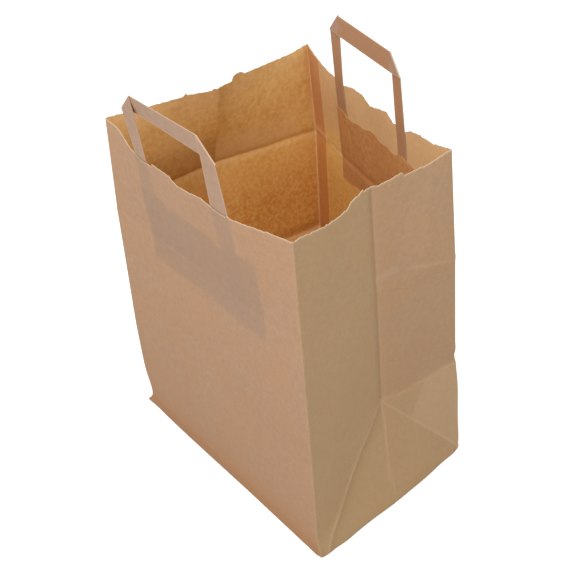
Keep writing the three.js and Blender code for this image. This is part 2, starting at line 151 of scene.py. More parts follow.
# Small knocks: way round, height, reach along and up the sheet, and the push along x and y. They are
# the splayed front left foot, the fuller foot of the front, the blunt front right foot, the fuller
# foot of the right end, and the back right corner line's foot, knee and nick.
KNOCKS = [
    (0, 0, 9, 5.5, -5, -1.2), (0, 14, 16, 17, 3.8, 1.3), (50, 0, 80, 22, 0, -1.2),
    (234, 0, 12, 10, 3.8, 0.6), (254, 0, 11, 14, 1.5, 0), (315, 0, 26, 20, 1.4, 0),
    (396, 0, 13, 12, 1.6, 0), (262, 0, 24, 16, 2.7, 0), (300, 0, 40, 20, 1.8, 0),
    (358, 0, 32, 20, 2.6, 0), (407, 0, 7, 9, 0.1, -2.1), (407, 64, 18, 25, 0.8, 1),
    (407, 97, 6, 3.5, -1.7, -0.7),
]

# Small nubs of torn paper that stand up from the rim: way round, half width and height
NUBS = [(168.5, 1.5, 2.2), (729, 1, 2.4), (751, 1.2, 0.9), (33, 1, 1), (309, 1, 1.2)]

# The tear as one row of points round the whole bag
TEAR_WAY = np.array([
    *[STARTS[k] + share * WIDTHS[k] for k, panel in enumerate(TEAR) for share, _ in panel[:-1]], ROUND,
])
TEAR_RISE = np.array([*[rise for panel in TEAR for _, rise in panel[:-1]], 0.0])

# How far the second crease stands out on each panel, and its reach above and below, and the same of
# the skirt, a soft ridge over the tucked ends
CREASE_DEPTH = np.array([0.05, 0.05, 0.12, 0.5, 0.5, 0.45])
CREASE_ABOVE = 3.0
CREASE_BELOW = 5.0
SKIRT_HEIGHT = 108.0
SKIRT_DEPTH = np.array([0, 0, 0, 0.5, 1.2, 0.8])
SKIRT_REACH = 4.0

# Waves as (depth, length round the bag, length up it, turn), and those of a torn edge as (depth,
# length, turn). A length here is that of a full wave over 2 pi.
DENT_WAVES = [(0.7, 19, 47, 1.3), (0.45, 11, -31, 0), (0.3, 40, 13, 0)]
RIM_WAVES = [(0.28, 1.13, 0), (0.2, 0.61, 2), (0.14, 0.37, 1), (0.1, 0.19, 0)]
PATCH_WAVES = [(1.7, 8.5, 0), (1.1, 3.7, 1), (0.25, 0.7, 0)]

# Bent marks of use as two rows of points: on the right end a height for each place along it, but for
# CENTRE_LINE and FACET_SIDE a place for each height, and inside the back the second crease's strip.
# FOLD_LAG is how far the front 45 degree fold of the right end sags behind its line at the foot.
KNEE_LINE = [[0, 14, 33, 52, 89], [90, 88, 85.2, 87.5, 90]]
CENTRE_LINE = [[0, 37, 72, 89], [-4, -1.4, 1.2, 0]]
FACET_SIDE = [[58, 87.5], [31, 52]]
FAINT_CREASE = [[0, 24, 89], [224, 223, 206]]
BACK_STRIP = [[127, 177, 225], [207, 209.6, 215]]
FOLD_LAG = 8.0

# Where each broad face carries its handle, how high the tape stands over the lip, which end of the
# patch is flush with a leg, what share of the first leg is tucked under at its outer edge, how far
# the patch's foot slides along, how far the bar's lower edge gapes from each leg, and how far the
# tape leans over, [x, y], for each millimetre along it, at its first and second leg.
HANDLES = {
    "front": {"panel": FRONT, "middle": BAG_WIDTH / 2 - 3.6, "rise": 51.5, "lap_first": True,
              "tucked": 0.0, "slide": 0.0, "gape": (2.6, 0.6), "lean": [[0.047, -0.166], [-0.044, -0.119]]},
    "back": {"panel": BACK, "middle": BAG_WIDTH / 2 + 3.9, "rise": 46.5, "lap_first": False,
             "tucked": 0.25, "slide": -4.5, "gape": (0.6, 0.6), "lean": [[-0.119, -0.03], [-0.111, -0.001]]},
}


def corner_rings():
    """The six corner points at each of the four heights: the square box plus what use has pushed.
    The lip's points are lifted too, and the fold lines end in the middle of the foot's short edges."""
    rings = np.zeros((4, 6, 3))
    rings[:, :, :2] = SQUARE + PUSHED
    rings[:, :, 2] = HEIGHTS[:, None]
    rings[3, :, 2] += LIP_LIFT
    rings[0, RIGHT_FOLD] = (rings[0, FRONT_RIGHT] + rings[0, BACK_RIGHT]) / 2
    rings[0, LEFT_FOLD] = (rings[0, BACK_LEFT] + rings[0, FRONT_LEFT]) / 2
    return rings


RINGS = corner_rings()


def between(start, end, share):
    """The value or point at a share of the way from start to end."""
    return start + (end - start) * share


def ramp(x, start, end):
    """An S curve from 0 at x = start to 1 at x = end: 3t² - 2t³, flat outside."""
    t = np.clip((x - start) / (end - start), 0, 1)
    return t * t * (3 - 2 * t)


def step(offset, width):
    """0 before an edge and 1 past it, with a soft step as wide as width."""
    return ramp(offset, -width / 2, width / 2)


def ripple(x, waves):
    """A sum of sine waves: depth sin(x / length + turn)."""
    return sum(depth * np.sin(x / length + turn) for depth, length, turn in waves)


def panel_of(way):
    """The number of the panel that each way round lies on."""
    return np.clip(np.searchsorted(STARTS, way, side="right") - 1, 0, 5)


def line(offset, width):
    """1 on a line and dying away on both sides of it, as exp(-(offset / width)²)."""
    return np.exp(-(offset / width) ** 2)


def dents(way, z):
    """How far use has pressed the sheet out (+) or in (-), in millimetres: three long shallow waves
    that die away at the corner lines and the foot, and the second crease, which stands out of the
    sheet, steep above and gentle below, and the skirt. Both are deepest on the left end and the back."""
    k = panel_of(way)
    share = (way - STARTS[k]) / WIDTHS[k]
    held = np.sin(np.pi * np.clip(share, 0, 1)) * ramp(z, 0, 60)
    waves = sum(depth * np.sin(way / round_it + z / up_it + turn)
                for depth, round_it, up_it, turn in DENT_WAVES)
    off = z - CREASE_HEIGHT
    crease = CREASE_DEPTH[k] * line(off, np.where(off > 0, CREASE_ABOVE, CREASE_BELOW))
    skirt = SKIRT_DEPTH[k] * line(z - SKIRT_HEIGHT, SKIRT_REACH)
    return held * waves + crease + skirt


def knocks(way, z):
    """Small knocks, each a soft push along x and y that dies away round its place."""
    push = np.zeros((*way.shape, 3))
    for at_way, at_z, width, height, x, y in KNOCKS:
        apart = np.minimum(np.abs(way - at_way), ROUND - np.abs(way - at_way))
        push[..., :2] += (line(apart, width) * line(z - at_z, height))[..., None] * [x, y]
    return push


def sheet(way, z, inward=0.0):
    """The folded sheet as a surface of two lengths: way, in millimetres round the bag from the front
    left corner line, and z up the sheet. A panel is ruled between its two corner lines, plus a sine
    bow and the dents along its outward normal. Below the knee a half end is two flat faces: the
    strip beside the corner line, and the tucked triangle, which meet where reach = z."""
    way, z, inward = np.broadcast_arrays(np.mod(way, ROUND), np.asarray(z, float), inward)
    k = panel_of(way)
    s = way - STARTS[k]
    share = s / WIDTHS[k]
    level = np.clip(np.searchsorted(HEIGHTS, z, side="right") - 1, 0, 2)
    t = (z - HEIGHTS[level]) / (HEIGHTS[level + 1] - HEIGHTS[level])
    a, b = [between(RINGS[level, c], RINGS[level + 1, c], t[..., None]) for c in (k, (k + 1) % 6)]
    along = b - a
    out = np.stack([along[..., 1], -along[..., 0], np.zeros_like(z)], axis=-1)
    out /= np.linalg.norm(out, axis=-1, keepdims=True)
    bow = between(BOW[k, level], BOW[k, level + 1], np.minimum(t, 1)) * np.sin(np.pi * share)

    reach = np.where(OUTER_FIRST[k], s, WIDTHS[k] - s)
    up = z / HALF_DEPTH
    corner, far, knee, apex = RINGS[0, OUTER[k]], RINGS[0, ACROSS[k]], RINGS[1, OUTER[k]], RINGS[1, FOLD[k]]
    strip = corner + (apex - knee) * (reach / HALF_DEPTH)[..., None] + (knee - corner) * up[..., None]
    triangle = (corner + (far - corner) * (reach / BAG_DEPTH)[..., None]
                + (apex - (corner + far) / 2) * up[..., None])
    tucked = np.where((reach < z)[..., None], strip, triangle)
    bulge = BULGE[k] * (1 - up) * np.sin(np.pi * reach / BAG_DEPTH)

    low_end = IS_END[k] & (z < HALF_DEPTH)
    point = np.where(low_end[..., None], tucked, a + along * share[..., None])
    offset = np.where(low_end, bulge, bow) + dents(way, z) - inward
    return point + out * offset[..., None] + knocks(way, z)


def rim(way):
    """The height of the torn rim: straight lines between the points of the tear, plus a fine ragged
    edge of four sine waves from 7 mm down to 1 mm long, and the nubs."""
    nubs = sum(height * line(way - place, width) for place, width, height in NUBS)
    return BAG_HEIGHT + np.interp(way, TEAR_WAY, TEAR_RISE) + ripple(way, RIM_WAVES) + nubs


def creased(way, z, inward, radius):
    """The sheet with rounded folds: the mean of the sheet at five places from -radius to +radius
    round the bag, which leaves flat paper as it is and rounds a corner line to about that radius."""
    return np.mean([sheet(way + share * radius, z, inward) for share in (-1, -0.5, 0, 0.5, 1)], axis=0)


def ring_faces(rows, columns, rises, inside):
    """Triangles of a grid that closes on itself: each square is split along the diagonal that
    rises says, and turned round on the inside."""
    row, column = np.meshgrid(np.arange(rows - 1), np.arange(columns), indexing="ij")
    beside = (column + 1) % columns
    a, b = row * columns + column, row * columns + beside
    c, d = a + columns, b + columns
    up = np.broadcast_to(rises, a.shape)[..., None]
    first = np.where(up, np.stack([a, b, d], -1), np.stack([a, b, c], -1))
    second = np.where(up, np.stack([a, d, c], -1), np.stack([b, d, c], -1))
    faces = np.concatenate([first.reshape(-1, 3), second.reshape(-1, 3)])
    return faces[:, ::-1] if inside else faces


def plate(outline, base, top):
    """A flat closed plate: the same outline at two heights, joined by its side faces."""
    n = len(outline)
    points = np.array([[x, y, z] for z in (base, top) for x, y in outline])
    sides = [[i, (i + 1) % n, n + (i + 1) % n, n + i] for i in range(n)]
    return points, [list(range(n))[::-1], list(range(n, 2 * n))] + sides


def foot_place(first, second):
    """A place beside an edge of the foot: so far along it from a corner, and so far in from it."""
    along = RINGS[0, second, :2] - RINGS[0, first, :2]
    along /= np.linalg.norm(along)
    into = np.array([-along[1], along[0]])
    return lambda corner, forward, inward: corner + along * forward + into * inward


def flap_outline(first, second):
    """A bottom flap: it hinges on a long edge of the foot, and its ends run in at 45 degrees."""
    place = foot_place(first, second)
    a, b = RINGS[0, first, :2], RINGS[0, second, :2]
    inset, reach = PAPER / 4, HALF_DEPTH + FLAP_OVERLAP / 2
    return [place(a, 2 * inset, inset), place(b, -2 * inset, inset),
            place(b, -reach, reach - inset), place(a, reach, reach - inset)]


def tuck_outline(first, second):
    """A tucked end lies flat on the floor as a triangle on a short edge of the foot."""
    place = foot_place(first, second)
    a, b = RINGS[0, first, :2], RINGS[0, second, :2]
    inset = 3 * PAPER
    return [place(a, 2 * inset, inset), place(b, -2 * inset, inset),
            place((a + b) / 2, 0, HALF_DEPTH - inset)]


def make_mesh(name, points, faces, masks, sharp=28):
    """A mesh object at the origin from points in millimetres, with one float attribute for each
    mask, smooth but for its sharp folds."""
    mesh = bpy.data.meshes.new(name)
    mesh.from_pydata((np.asarray(points) * MM).tolist(), [], [list(map(int, f)) for f in faces])
    for key, values in masks.items():
        layer = mesh.attributes.new(key, "FLOAT", "POINT")
        layer.data.foreach_set("value", np.asarray(values, np.float32).ravel())
    mesh.shade_smooth()
    mesh.set_sharp_from_angle(angle=math.radians(sharp))
    piece = bpy.data.objects.new(name, mesh)
    bpy.context.collection.objects.link(piece)
    return piece


# How many rows the sheet has below the knee. A half end has as many columns, so that the 45 degree
# folds run along the diagonals of the grid.
LOW_ROWS = 41

# Above the knee, even rows run up to the band below the rim, where RIM_ROWS follow the tear. Finer
# rows lie round the creases, and finer columns round the corner lines and the nubs.
MIDDLE_ROWS = 36
RIM_BAND = 22.0
RIM_ROWS = np.concatenate([np.linspace(0, 0.85, 9), [0.92, 0.97, 1.0]])[:, None]
FINE_ROWS = np.array([-6.5, -4.5, -3, -1.8, -0.8, 0, 0.8, 1.8, 3, 4.5, 6.5])
CORNER_COLUMNS = np.array([-1.1, -0.5, 0.5, 1.1])
NUB_COLUMNS = np.array([-1.6, -0.8, 0, 0.8, 1.6])

# The floor is a thin ring inside the foot, from this share of the way out, and a fan in the ring
FLOOR_INSET = 0.985


def spaced(values, gap):
    """The sorted values without each that comes no more than gap after the one before it."""
    return values[np.concatenate([[True], np.diff(values) > gap])]


def sheet_columns(facet):
    """The way round of each column: even steps on every panel, as wide as facet on the broad faces,
    finer at the corner lines and nubs, one at every point of the tear and at the edges of the seam."""
    ends = [np.linspace(STARTS[k], STARTS[k + 1], LOW_ROWS) for k in range(6) if IS_END[k]]
    broad = [np.arange(STARTS[k], STARTS[k + 1], facet) for k in (FRONT, BACK)]
    corners = (STARTS[:-1, None] + CORNER_COLUMNS).ravel() % ROUND
    nubs = [place + width * NUB_COLUMNS for place, width, _ in NUBS]
    seam = STARTS[BACK_LEFT] - np.array([SEAM_WIDTH + SEAM_RAMP, SEAM_WIDTH, SEAM_RAMP])
    way = np.unique(np.round(np.concatenate([*ends, *broad, corners, *nubs, seam, TEAR_WAY, STARTS]), 3))
    return spaced(way[way < ROUND - 0.2], 0.24)


def wall(way):
    """How thick the wall is: one paper, and two over the glued seam beside the back left corner line."""
    end = STARTS[BACK_LEFT]
    edges = [end - SEAM_WIDTH - SEAM_RAMP, end - SEAM_WIDTH, end - SEAM_RAMP, end]
    return PAPER + PAPER * np.interp(way, edges, [0, 1, 1, 0])


def show_through_shade(way, z):
    """Painted shade on the outside where paper pasted inside blocks the light that comes through the
    wall: 0.8 over the patch and 0.65 over each leg of the tape below the rim, with soft edges. A leg
    under the patch adds only a little to it."""
    soft = 2.0
    total = np.zeros(np.broadcast(way, z).shape)
    for handle in HANDLES.values():
        s = way - STARTS[handle["panel"]]
        start, end = patch_span(handle)
        patch = step(s - start, soft) * step(end - s, soft) * step(z - PATCH_BASE, soft)
        patch = patch * step(PATCH_TOP + ripple(s, PATCH_WAVES) - z, soft)
        off = np.min([np.abs(s - handle["middle"] - side * LEG_PITCH / 2) for side in (-1, 1)], axis=0)
        legs = step(TAPE_WIDTH / 2 - off, 1.6) * step(z - LEG_FOOT, soft)
        on_panel = (s > 0) & (s < BAG_WIDTH)
        total = total + (np.maximum(0.8 * patch, 0.65 * legs) + 0.14 * patch * legs) * on_panel
    return total


def together(marks):
    """Marks laid over each other: their sum, at most 1."""
    return np.clip(np.sum(marks, axis=0), 0, 1)


def outside_marks(way, z):
    """Dark and pale marks on the outside, each 0 to 1. The dark ones are painted shade in and beside the
    folds, with some wear in the middle folds, and a darker foot; the pale ones are painted highlights on
    the folds, the facet, the corner lines and the creases. The comment beside each says what it is.
    """
    k = panel_of(way)
    s = way - STARTS[k]
    high = step(z - HALF_DEPTH, 4)
    low = 1 - high
    left_end = (k == LEFT_REAR) | (k == LEFT_FRONT)
    rear_half = k == RIGHT_REAR
    low_front = low * (k == RIGHT_FRONT)

    fold = way - STARTS[RIGHT_FOLD]
    behind = (s - z - FOLD_LAG * np.clip(1 - z / HALF_DEPTH, 0, 1)) / math.sqrt(2)
    shade = np.where(behind > 0, np.exp(-behind / 4.5), line(behind, 0.8))
    before_rear = (HALF_DEPTH - s - z) / math.sqrt(2)
    knee = z - np.interp(s, *KNEE_LINE)
    centre = fold - np.interp(z, *CENTRE_LINE)
    facet = step(s - np.interp(z, *FACET_SIDE), 2) * step(-before_rear, 2) * step(-knee, 1.5)
    faint = z - np.interp(s, *FAINT_CREASE)
    crease = z - CREASE_HEIGHT
    reach = np.where(OUTER_FIRST[k], s, WIDTHS[k] - s)
    unseen = np.minimum(np.abs(reach - z) / math.sqrt(2), np.abs(z - HALF_DEPTH))
    dark = [
        0.6 * line(fold, 1.1) * high,  # painted shade and wear in the right end's middle fold
        0.3 * line(fold + 2, 2.6) * high * (k == RIGHT_FRONT),  # the shade before it
        0.6 * line(way - STARTS[LEFT_FOLD], 1.0) * high,  # painted shade and wear in the left end's middle fold
        0.6 * shade * low_front,  # the shade behind the front 45 degree fold
        0.5 * line(z, 1.3),  # the dark line along the foot
        0.2 * line(z - 7, 4) * (k == FRONT),  # the soft band over the front's foot
        0.5 * line(way - STARTS[FRONT_RIGHT], 5) * line(z, 7),  # the rubbed front right foot
    ]
    pale = [
        0.55 * np.exp(-fold / 5) * high * rear_half * (fold > 0.9),  # the strip behind the middle fold
        0.5 * line(behind + 1.4, 0.9) * low_front,  # the front 45 degree fold
        0.45 * line(knee, 0.9) * rear_half,  # the knee of the rear half
        0.4 * line(before_rear, 0.9) * low * rear_half,  # the rear 45 degree fold
        0.35 * facet * rear_half,  # the facet between the two
        0.4 * line(centre, 0.9) * low * ramp(z, 0, 30),  # the line down the tucked triangle
        0.35 * line(faint, 1.3) * rear_half,  # the second crease on the right end
        0.25 * line(np.minimum(s, WIDTHS[k] - s), 0.9),  # the corner lines
        0.45 * line(unseen, 1.0) * left_end * (z < HALF_DEPTH + 3),  # the folds of the left end's foot
        0.2 * line(crease, 1.4) * (left_end | (k == BACK)),  # the second crease behind
        0.12 * line(crease, 1.5) * (k == FRONT),  # the second crease in front
    ]
    return together(dark), together(pale)


def inside_marks(way, z):
    """Dark and pale marks on the inside, each 0 to 1: painted shade (dark) and painted highlights (pale)
    at the folds, creases, skirt and corner line. The comment beside each says what it is.
    """
    k = panel_of(way)
    s = way - STARTS[k]
    left_rear, left_front, back = k == LEFT_REAR, k == LEFT_FRONT, k == BACK
    left = left_rear + 0.5 * left_front
    crease = z - CREASE_HEIGHT
    skirt = z - SKIRT_HEIGHT
    strip = z - np.interp(s, *BACK_STRIP)
    before_fold = STARTS[LEFT_FOLD] - way
    near_fold = np.exp(-np.abs(before_fold) / 7) * (before_fold > 0)
    dark = [
        0.14 * line(crease - 3.4, 3.0) * left,  # above the left end's crease
        0.65 * left_front * ramp(z, 262, 232),  # the shaded corner behind the front handle
        0.6 * line(strip + 4.6, 1.1) * back,  # below the back's crease
        0.35 * near_fold * ramp(z, 196, 210),  # behind the left end's middle fold
        0.35 * np.exp(-s / 7) * left_rear * ramp(z, 190, 210),  # beside the back left corner line
        0.5 * line(skirt - 8, 4) * left,  # above the skirt
    ]
    pale = [
        0.6 * left_rear * ramp(z, 207, 215) * ramp(z, 254, 228) * ramp(s, 0, 50),  # above the crease
        0.45 * line(crease + 2.4, 2.6) * left,  # the left end's crease
        (0.75 + 0.3 * ramp(s, 185, 205)) * line(strip, 3.4) * back,  # the back's crease
        line(way - STARTS[BACK_LEFT], 1.3),  # the back left corner line
        0.9 * line(skirt + 1, 3.6) * left,  # the skirt
    ]
    return together(dark), together(pale)


def inner_glow(way, below):
    """Where light comes through to the inside: down to about 26 mm below the rim, less on the back
    and beside it, and beside the front left corner line down to about 60 mm below it."""
    share = np.array([1, 1, 1, 0.3, 0.5, 1])[panel_of(way)]
    corner = 0.9 * np.exp(-(ROUND - way) / 13) * line(below, 60)
    return np.clip(line(below, 26) * share + corner, 0, 1)


def outer_glow(way, z):
    """Painted warm shade, where the outside is darker and warmer: over the foot of the front, and beside
    the right end's middle fold.
    """
    k = panel_of(way)
    beside_fold = 0.55 * np.exp(-np.abs(way - STARTS[RIGHT_FOLD]) / 12) * (k == RIGHT_REAR)
    return ramp(z, 34, 0) * (k == FRONT) + beside_fold * ramp(z, 0, 80)


def green_reflection(way, z, inside):
    """Where a painted greenish reflection tints the paper: inside on the back below the second crease,
    and outside on the right end, most of all on its front half and below the knee."""
    k = panel_of(way)
    if inside:
        return (k == BACK) * (1 - 0.85 * ramp(z, 222, 257))
    return (k == RIGHT_FRONT) + (k == RIGHT_REAR) * (0.5 + 0.35 * step(HALF_DEPTH - z, 6))


def sheet_masks(way, z, top, inside):
    """The masks of one face of the wall, each 0 to 1, where top is the height of its rim. Depth says
    how far down a place is: outside all the way, and inside from 246 mm to 148 mm. Rosy is the top
    of the back's inside."""
    dark, pale = inside_marks(way, z) if inside else outside_marks(way, z)
    seam_end = STARTS[BACK_LEFT]
    return {
        "inside": np.full_like(z, float(inside)),
        "show_through_shade": show_through_shade(way, z) * (not inside),
        "dark": dark,
        "pale": pale,
        "torn": ramp(top - z, 1.8, 0),
        "seam": (way >= seam_end - SEAM_WIDTH) & (way <= seam_end),
        "depth": ramp(z, 246, 148) if inside else np.clip(1 - z / BAG_HEIGHT, 0, 1),
        "glow": inner_glow(way, top - z) if inside else outer_glow(way, z),
        "green_reflection": green_reflection(way, z, inside),
        "rosy": (panel_of(way) == BACK) * ramp(z, 212, 242) * inside,
    }


def floor_faces(foot, ring, centre):
    """Triangles of the floor: the ring inside the foot, and the fan from the ring to the centre."""
    next_foot, next_ring = np.roll(foot, -1), np.roll(ring, -1)
    return np.concatenate([np.stack([ring, next_foot, foot], -1),
                           np.stack([ring, next_ring, next_foot], -1),
                           np.stack([np.full_like(ring, centre), next_ring, ring], -1)])


def bag_sheet(sizes):
    """The whole folded sheet as one closed skin. Each face of the wall is a grid of way and height;
    the rows run to the torn rim, and the inner face lies one wall in. Each closes with a floor, which
    has the masks inside and depth of the foot and no others. The bottom is the floor, two flaps below
    it and two tucked triangles on it."""
    way = sheet_columns(sizes.column_step)
    band = BAG_HEIGHT - RIM_BAND
    rows = np.concatenate([np.linspace(0, HALF_DEPTH, LOW_ROWS),
                           np.linspace(HALF_DEPTH + 5, band, MIDDLE_ROWS)[:-1],
                           CREASE_HEIGHT + FINE_ROWS, SKIRT_HEIGHT + FINE_ROWS[::2]])
    rows = spaced(np.unique(np.round(rows, 2)), 0.6)[:, None]
    top = rim(way)
    rises = OUTER_FIRST[panel_of(way)]
    masks = {}
    points, faces, rims = [], [], []
    count = 0
    for inside in (False, True):
        base = FLOOR_TOP if inside else FLOOR_BASE
        z = np.concatenate([np.repeat(np.maximum(rows, base), len(way), 1), between(band, top, RIM_ROWS)])
        ways = np.broadcast_to(way, z.shape)
        inward = wall(ways) if inside else np.zeros_like(z)
        skin = creased(ways, z, inward, sizes.fold_radius).reshape(-1, 3)
        points += [skin, skin[:len(way)] * [FLOOR_INSET, FLOOR_INSET, 1], [[0, 0, base]]]
        foot = count + np.arange(len(way))
        floor = floor_faces(foot, foot + z.size, count + z.size + len(way))
        faces += [ring_faces(len(z), len(way), rises, inside) + count, floor[:, ::-1] if inside else floor]
        for key, value in sheet_masks(ways, z, top, inside).items():
            on_floor = value.flat[0] if key in ("inside", "depth") else 0.0
            masks.setdefault(key, []).append(np.append(value.ravel(), np.full(len(way) + 1, on_floor)))
        rims.append(foot + z.size - len(way))
        count += z.size + len(way) + 1
    outer, inner = rims
    faces += [np.stack([outer, np.roll(outer, -1), np.roll(inner, -1)], -1),
              np.stack([outer, np.roll(inner, -1), inner], -1)]
    polygons = np.concatenate(faces).tolist()

    sunk = PAPER / 4
    plates = [plate(flap_outline(BACK_RIGHT, BACK_LEFT), PAPER, FLOOR_BASE + sunk),
              plate(flap_outline(FRONT_LEFT, FRONT_RIGHT), 0, PAPER + sunk),
              plate(tuck_outline(FRONT_RIGHT, BACK_RIGHT), FLOOR_TOP - sunk, FLOOR_TOP + PAPER),
              plate(tuck_outline(BACK_LEFT, FRONT_LEFT), FLOOR_TOP - sunk, FLOOR_TOP + PAPER)]
    for number, (corners, sides) in enumerate(plates):
        points.append(corners)
        polygons += [[count + i for i in side] for side in sides]
        count += len(corners)
        for key, value in masks.items():
            value.append(np.full(len(corners), float(key in ("inside", "depth") and number > 1)))
    masks = {key: np.concatenate(value) for key, value in masks.items()}
    return make_mesh("bag_sheet", np.concatenate(points), polygons, masks)


def handle_place(handle, s, z, inward):
    """A point of the tape: on the sheet below the bend, and above it along the wall's own slope,
    which turns over the bend's length into the tape's lean. Higher up the tape is pulled straight
    from leg to leg, more and more up to the bar. A leg whose outer edge is tucked under is narrower
    above the patch."""
    side = STARTS[handle["panel"]]
    legs = handle["middle"] + np.array([-0.5, 0.5]) * LEG_PITCH
    narrow = handle["tucked"] * ramp(z, PATCH_TOP - 8, PATCH_TOP + 2)
    s = s + narrow * np.maximum(legs[0] + TAPE_WIDTH / 2 - s, 0)
    share = ((s - legs[0]) / LEG_PITCH)[..., None]
    drops = (0, SLOPE_RUN)
    held, under = [sheet(side + s, np.minimum(z, BEND_START) - drop, inward) for drop in drops]
    at_bend, below = [[sheet(side + leg, BEND_START - drop, inward) for leg in legs] for drop in drops]
    pull_length = BAG_HEIGHT + handle["rise"] - TAPE_WIDTH - BEND_START - PULL_START
    pull = np.clip((z - BEND_START - PULL_START) / pull_length, 0, 1)[..., None]
    start = between(held, between(*at_bend, share), pull)
    slope = between(held - under, between(*np.subtract(at_bend, below), share), pull)
    slope /= np.linalg.norm(slope, axis=-1, keepdims=True)
    lean = np.array([[x, y, math.sqrt(1 - x * x - y * y)] for x, y in handle["lean"]])
    rise = np.maximum(z - BEND_START, 0)
    turned = np.where(rise < BEND_LENGTH, rise * rise / (2 * BEND_LENGTH), rise - BEND_LENGTH / 2)
    return start + slope * (rise - turned)[..., None] + between(*lean, share) * turned[..., None]


def tape_path(handle, across, side):
    """One face of the tape as (s, z, inward), a row for each station along it: up the first leg,
    round the 45 degree fold, along the bar, round the second fold and down the other leg. side is -1
    for the face outside the folds and +1 for the face inside them. The bar's lower edge gapes from
    each leg by what the handle says."""
    half = TAPE_WIDTH / 2
    middle = handle["middle"]
    bar_base = BAG_HEIGHT + handle["rise"] - TAPE_WIDTH
    fold_z = bar_base + half + across
    radius = (BAR_MIDDLE - LEG_MIDDLE - side * TAPE_THICKNESS) / 2
    low = np.concatenate([np.arange(LEG_FOOT, BEND_START, 2), np.arange(BEND_START, bar_base, 1.5)])
    legs, folds = [], []
    for end in (-1, 1):
        at = middle + end * LEG_PITCH / 2 - end * across
        rows = np.concatenate([np.repeat(low[:, None], len(across), 1),
                               between(bar_base, fold_z, np.array([0.0, 0.33, 0.66])[:, None])])
        depth = np.full_like(rows, LEG_MIDDLE + side * TAPE_THICKNESS / 2)
        legs.append(np.stack([np.broadcast_to(at, rows.shape), rows, depth], -1))
        turn = np.linspace(0, np.pi, 7)[:, None]
        push = radius * np.sin(turn) / math.sqrt(2)
        depth = FOLD_MIDDLE - radius * np.cos(turn) + 0 * at
        folds.append(np.stack([at + end * push, fold_z + push, depth], -1))
    share = np.linspace(0, 1, 40)[1:-1, None]
    left, right = middle - LEG_PITCH / 2 + across, middle + LEG_PITCH / 2 - across
    s = between(left, right, share)
    first, second = handle["gape"]
    gape = (first * ramp(s, left, left + TAPE_WIDTH) * (1 - share)
            + second * ramp(s, right, right - TAPE_WIDTH) * share) * (half - across) / TAPE_WIDTH
    depth = BAR_MIDDLE - side * TAPE_THICKNESS / 2 + gape
    bar = np.stack([s, np.broadcast_to(fold_z, s.shape), depth], -1)
    return np.concatenate([legs[0], folds[0], bar, folds[1][::-1], legs[1][::-1]])


def closed_grid(rows, columns):
    """Quads of a closed sheet whose two faces are grids of so many rows and columns: the one face, the
    other turned round, both sides, the foot and the head."""
    row, column = np.meshgrid(np.arange(rows - 1), np.arange(columns - 1), indexing="ij")
    a = (row * columns + column).ravel()
    quads = np.stack([a, a + 1, a + columns + 1, a + columns], -1)
    size = rows * columns
    left, foot = np.arange(rows - 1) * columns, np.arange(columns - 1)
    right, head = left + columns - 1, foot + (rows - 1) * columns
    return np.concatenate([
        quads,
        quads[:, ::-1] + size,
        np.stack([left, left + columns, left + columns + size, left + size], -1),
        np.stack([right, right + size, right + columns + size, right + columns], -1),
        np.stack([foot, foot + size, foot + 1 + size, foot + 1], -1),
        np.stack([head, head + 1, head + 1 + size, head + size], -1),
    ])


def handle_tape(name):
    """One handle: the two faces of the tape as grids of stations and places across it, closed along
    both edges and both ends. Its mask edge is 1 on the folded edges, turn is 1 on the 45 degree
    folds, and inner is 1 on the side that faces into the bag, where warm shade is painted."""
    handle = HANDLES[name]
    half = TAPE_WIDTH / 2
    edges = half - np.array([0, 0.4, 1.2])
    across = np.concatenate([-edges, [-half / 2, 0, half / 2], edges[::-1]])
    grids = [np.moveaxis(tape_path(handle, across, side), -1, 0) for side in (-1, 1)]
    points = [handle_place(handle, *grid).reshape(-1, 3) for grid in grids]
    s, _, inward = grids[0]
    edge = np.tile(ramp(half - np.abs(across), 1.2, 0), len(s))
    fold_reach = (BAR_MIDDLE - LEG_MIDDLE + TAPE_THICKNESS) / 2 - 0.02
    turn = (np.abs(inward - FOLD_MIDDLE) < fold_reach).ravel()
    on_bar = (np.abs(s - handle["middle"]) < LEG_PITCH / 2 - half).ravel()
    masks = {"edge": np.tile(edge, 2), "turn": np.tile(turn, 2), "inner": np.concatenate([on_bar, ~on_bar])}
    return make_mesh(f"{name}_handle_tape", np.concatenate(points), closed_grid(*s.shape), masks, sharp=50)


def patch_span(handle):
    """The patch's two ends along its panel: flush with one leg's outer edge plus a small lap."""
    outer = LEG_PITCH / 2 + TAPE_WIDTH / 2 + PATCH_SIDE_LAP
    start = handle["middle"] - outer if handle["lap_first"] else handle["middle"] + outer - PATCH_WIDTH
    return start, start + PATCH_WIDTH


